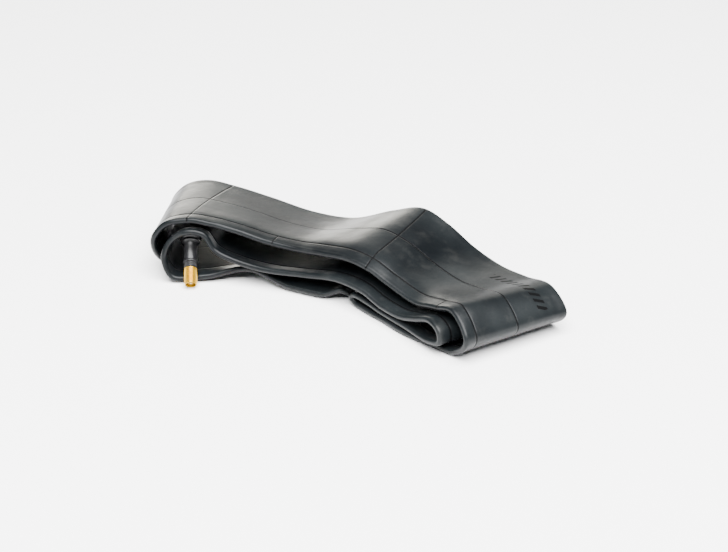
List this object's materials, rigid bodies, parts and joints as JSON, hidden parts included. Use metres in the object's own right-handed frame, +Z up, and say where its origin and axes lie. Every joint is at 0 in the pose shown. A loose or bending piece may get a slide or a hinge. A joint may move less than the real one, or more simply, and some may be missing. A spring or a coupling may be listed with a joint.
{
  "type": "bicycle inner tube",
  "caption": "Deflated butyl bicycle inner tube folded into a compact bundle, with a rubber-covered car-type valve and its removable sprung core.",
  "frame": {"origin": "middle of the bundle's footprint, on the surface it lies on", "axes": "+X along the bundle's length away from the valve, -Y towards the edge the valve points out of, +Z up"},
  "size_m": [0.2672, 0.1118, 0.0386],
  "materials": {
    "butyl": "satin, soft grey sheen",
    "stem_rubber": "satin black",
    "brass": "bright turned brass",
    "core_metal": "nickelled",
    "seal": "matt",
    "spring_steel": "drawn wire"
  },
  "bodies": {
    "tube": {"tube_body": "butyl", "valve_pad": "stem_rubber", "stem_cover": "stem_rubber", "stem_collar": "stem_rubber", "stem_insert": "brass"},
    "core_body": {"core_barrel": "core_metal", "core_gasket": "seal", "core_spring": "spring_steel"},
    "core_plug": {"core_head": "brass"},
    "pin": {"core_pin": "core_metal", "pin_cup": "brass", "pin_washer": "seal"}
  },
  "joints": [
    {"name": "core_lift", "type": "slide", "parent": "tube", "child": "core_body", "axis": [0.4785, -0.6124, -0.6293], "range_m": [0, 0.0042]},
    {"name": "core_unscrew", "type": "hinge", "parent": "core_body", "child": "core_plug", "pos_m": [-0.07386, -0.0508, 0.00532], "axis": [0.4785, -0.6124, -0.6293], "range_deg": [0, 2160]},
    {"name": "pin_press", "type": "slide", "parent": "core_body", "child": "pin", "axis": [-0.4785, 0.6124, 0.6293], "range_m": [0, 0.0012], "stiffness_N_per_m": 1000, "springref_m": -0.0015, "deforming": ["core_spring"]}
  ],
  "couplings": [
    {"joint": "core_unscrew", "follows": "core_lift", "rad_per_m": 8904.7}
  ]
}
